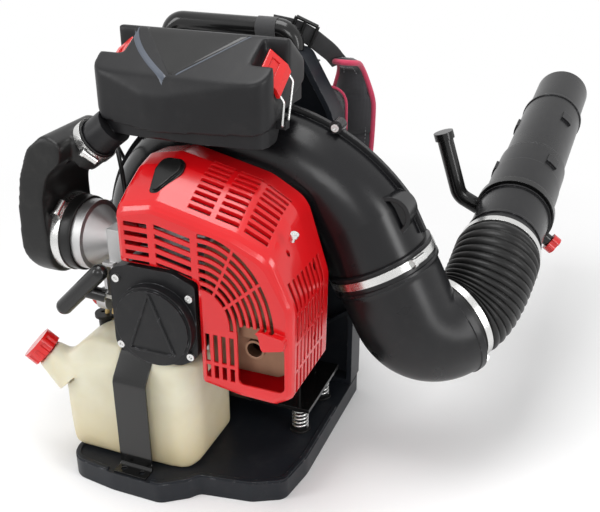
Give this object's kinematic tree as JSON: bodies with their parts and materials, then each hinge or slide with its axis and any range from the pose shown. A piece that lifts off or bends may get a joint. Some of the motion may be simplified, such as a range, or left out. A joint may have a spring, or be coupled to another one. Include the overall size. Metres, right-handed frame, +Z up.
{
  "type": "backpack leaf blower",
  "caption": "Petrol leaf blower worn on the back, with a fan scroll, a red engine cover, a fuel tank, an air cleaner and a jointed air tube.",
  "frame": {"origin": "middle of the base's underside, on the floor", "axes": "+Z up, +Y towards the wearer's back, +X towards the air tube at the wearer's right"},
  "size_m": [0.5617, 0.7784, 0.5133],
  "materials": {
    "red_cover": "gloss moulded red",
    "black_shell": "fine-grained satin black",
    "frame_plastic": "matt blue-grey black",
    "black_gloss": "gloss black",
    "tube_plastic": "satin dark grey",
    "duct_rubber": "satin black rubber",
    "tank_plastic": "milky, slightly see-through",
    "red_plastic": "satin red",
    "bulb_rubber": "clear red rubber",
    "pad_fabric": "dark padded nylon with red piping",
    "webbing": "black webbing",
    "buckle_plastic": "black acetal",
    "filter_foam": "pleated paper",
    "line_plastic": "amber fuel hose",
    "cable_sheath": "black sheath",
    "rope": "braided white cord",
    "bright_steel": "zinc-plated and ground steel",
    "black_steel": "gloss black paint",
    "cast_alloy": "sand-cast",
    "heated_steel": "brown heat tint",
    "plug_steel": "plated",
    "coil_resin": "potted black"
  },
  "bodies": {
    "frame": {"base_plate": "frame_plastic", "back_frame": "frame_plastic", "carry_handle": "black_gloss", "back_pad_upper": "pad_fabric", "back_pad_lower": "pad_fabric", "shoulder_pads": "pad_fabric", "strap_webbing": "webbing", "strap_buckles": "buckle_plastic", "isolator_springs": "bright_steel", "rubber_mounts": "duct_rubber", "engine_cradle": "black_steel", "fan_case_front": "black_shell", "fan_case_back": "black_shell", "main_bearings": "bright_steel", "crankcase": "cast_alloy", "cylinder": "cast_alloy", "piston": "cast_alloy", "spark_plug": "plug_steel", "plug_boot": "duct_rubber", "ignition_coil": "coil_resin", "muffler": "heated_steel", "carburetor": "cast_alloy", "engine_cover": "red_cover", "starter_housing": "black_shell", "recoil_spring": "bright_steel", "fuel_tank": "tank_plastic", "tank_strap": "black_steel", "tank_grommet": "duct_rubber", "fuel_lines": "line_plastic", "air_cleaner_cover": "black_shell", "air_cleaner_case": "black_shell", "air_filter": "filter_foam", "intake_duct": "duct_rubber", "intake_clamps": "bright_steel", "screws": "bright_steel", "throttle_cable": "cable_sheath"},
    "rotor": {"crankshaft": "bright_steel", "flywheel": "cast_alloy", "fan_impeller": "tube_plastic"},
    "con_rod": {"connecting_rod": "bright_steel"},
    "pull_grip": {"starter_grip": "black_gloss", "starter_rope": "rope"},
    "pulley": {"starter_pulley": "tube_plastic"},
    "tank_cap": {"fuel_cap": "red_plastic"},
    "access_cap": {"plug_access_cap": "black_gloss"},
    "right_catch": {"latch_right": "red_plastic"},
    "left_catch": {"latch_left": "red_plastic"},
    "bulb": {"primer_bulb": "bulb_rubber"},
    "elbow_pipe": {"elbow": "tube_plastic", "elbow_clamps": "bright_steel", "flexible_tube": "duct_rubber"},
    "cuff": {"cuff_clamp": "bright_steel"},
    "pipes": {"swivel_pipe": "tube_plastic", "middle_pipe": "tube_plastic"},
    "nozzle": {"end_pipe": "tube_plastic"},
    "handle": {"control_handle": "black_gloss"},
    "knob": {"clamp_knob": "red_plastic"},
    "arm": {"throttle_arm": "black_steel"},
    "lever": {"throttle_lever": "black_gloss"},
    "switch": {"stop_switch": "red_plastic"}
  },
  "joints": [
    {"name": "rotor_spin", "type": "hinge", "parent": "frame", "child": "rotor", "pos_m": [-0.006, 0, 0.226], "axis": [0, 1, 0], "continuous": true},
    {"name": "rod_turn", "type": "hinge", "parent": "rotor", "child": "con_rod", "pos_m": [-0.006, -0.06, 0.242], "axis": [0, 1, 0], "continuous": true},
    {"name": "grip_pull", "type": "slide", "parent": "frame", "child": "pull_grip", "axis": [-0.9105, -0.3176, 0.2647], "range_m": [0, 0.7], "stiffness_N_per_m": 8, "springref_m": -0.4},
    {"name": "pulley_turn", "type": "hinge", "parent": "frame", "child": "pulley", "pos_m": [-0.006, -0.11, 0.226], "axis": [0, 1, 0], "range_deg": [-1560, 0]},
    {"name": "cap_turn", "type": "hinge", "parent": "frame", "child": "tank_cap", "pos_m": [-0.161, -0.127, 0.153], "axis": [-0.6894, -0.2224, 0.6894], "range_deg": [0, 540]},
    {"name": "access_cap_lift", "type": "slide", "parent": "frame", "child": "access_cap", "axis": [0, -0.5, 0.866], "range_m": [0, 0.03]},
    {"name": "right_catch_swing", "type": "hinge", "parent": "frame", "child": "right_catch", "pos_m": [0.1025, 0, 0.431], "axis": [0, 1, 0], "range_deg": [0, 95]},
    {"name": "left_catch_swing", "type": "hinge", "parent": "frame", "child": "left_catch", "pos_m": [-0.1065, 0, 0.431], "axis": [0, -1, 0], "range_deg": [0, 95]},
    {"name": "bulb_press", "type": "slide", "parent": "frame", "child": "bulb", "axis": [1, 0, 0], "range_m": [0, 0.004], "stiffness_N_per_m": 400},
    {"name": "elbow_swivel", "type": "hinge", "parent": "frame", "child": "elbow_pipe", "pos_m": [0.19009, 0.042, 0.25745], "axis": [0.454, 0, -0.891], "range_deg": [-20, 20]},
    {"name": "tube_pitch", "type": "hinge", "parent": "elbow_pipe", "child": "cuff", "pos_m": [0.29209, 0.12986, 0.20228], "axis": [0.9994, -0.0338, 0], "range_deg": [-22, 25], "deforming": ["flexible_tube"]},
    {"name": "pipe_twist", "type": "hinge", "parent": "cuff", "child": "pipes", "pos_m": [0.303, 0.166, 0.228], "axis": [0.0331, 0.9791, 0.2008], "range_deg": [-30, 30]},
    {"name": "nozzle_slide", "type": "slide", "parent": "pipes", "child": "nozzle", "axis": [0.0331, 0.9791, 0.2008], "range_m": [0, 0.05]},
    {"name": "handle_swing", "type": "hinge", "parent": "pipes", "child": "handle", "pos_m": [0.30631, 0.26391, 0.24808], "axis": [0.0331, 0.9791, 0.2008], "range_deg": [-40, 40]},
    {"name": "knob_turn", "type": "hinge", "parent": "handle", "child": "knob", "pos_m": [0.35421, 0.26977, 0.2116], "axis": [0.7917, 0.0969, -0.6031], "range_deg": [0, 540]},
    {"name": "arm_fold", "type": "hinge", "parent": "frame", "child": "arm", "pos_m": [-0.146, 0.128, 0.15], "axis": [1, 0, 0], "range_deg": [0, 60]},
    {"name": "lever_squeeze", "type": "hinge", "parent": "arm", "child": "lever", "pos_m": [-0.15, 0.29909, 0.2406], "axis": [1, 0, 0], "range_deg": [-16, 0], "stiffness_Nm_per_rad": 0.6, "springref_deg": 11.46},
    {"name": "switch_press", "type": "slide", "parent": "arm", "child": "switch", "axis": [0, 0.1386, -0.9903], "range_m": [0, 0.0022], "stiffness_N_per_m": 500}
  ],
  "couplings": [
    {"joint": "rod_turn", "follows": "rotor_spin", "ratio": -1},
    {"joint": "pulley_turn", "follows": "grip_pull", "rad_per_m": -38.462}
  ]
}
